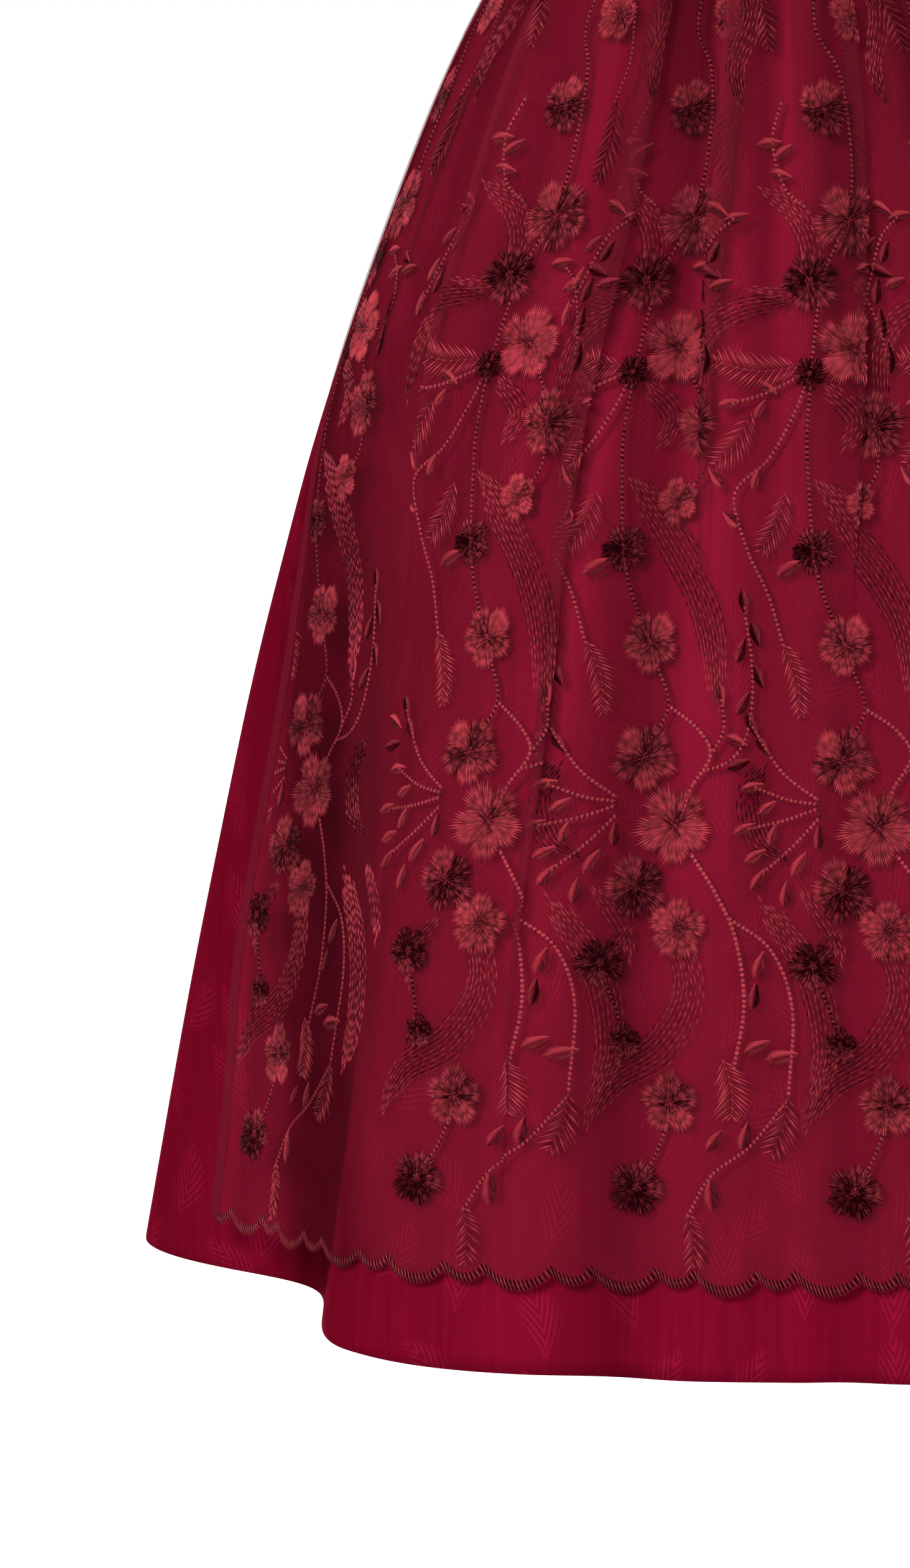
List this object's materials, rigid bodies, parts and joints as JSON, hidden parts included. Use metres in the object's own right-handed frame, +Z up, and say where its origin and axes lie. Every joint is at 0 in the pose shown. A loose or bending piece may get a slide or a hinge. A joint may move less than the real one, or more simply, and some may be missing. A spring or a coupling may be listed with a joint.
{
  "type": "dirndl dress",
  "caption": "Sleeveless dirndl dress with a fitted bodice, a gathered flared satin skirt and a sheer embroidered tulle apron tied in a bow at the back, in its worn form.",
  "frame": {"origin": "middle of the waist seam, where the wearer's waist holds the dress", "axes": "+Z up, the wearer faces -Y, +X towards the wearer's left"},
  "size_m": [0.6375, 0.5653, 1.0771],
  "materials": {
    "satin": "crimson jacquard satin, soft sheen, tone-on-tone leaf weave",
    "tulle": "sheer wine red tulle with tone-on-tone satin-stitched embroidery",
    "band": "plain crimson satin ribbon",
    "button": "dark wine red, polished"
  },
  "bodies": {
    "root": {"skirt_front": "satin", "skirt_back": "satin", "bodice_front_right": "satin", "bodice_side_right": "satin", "bodice_back": "satin", "bodice_side_left": "satin", "bodice_front_left": "satin", "strap_right": "satin", "strap_left": "satin", "front_placket": "satin", "button_1": "button", "button_2": "button", "button_3": "button", "button_4": "button", "button_5": "button", "button_6": "button", "apron_panel": "tulle", "apron_band": "band", "apron_tie_left": "band", "apron_tie_right": "band", "bow_knot": "band", "bow_loop_left": "band", "bow_loop_right": "band", "bow_tail_left": "band", "bow_tail_right": "band"}
  },
  "joints": []
}
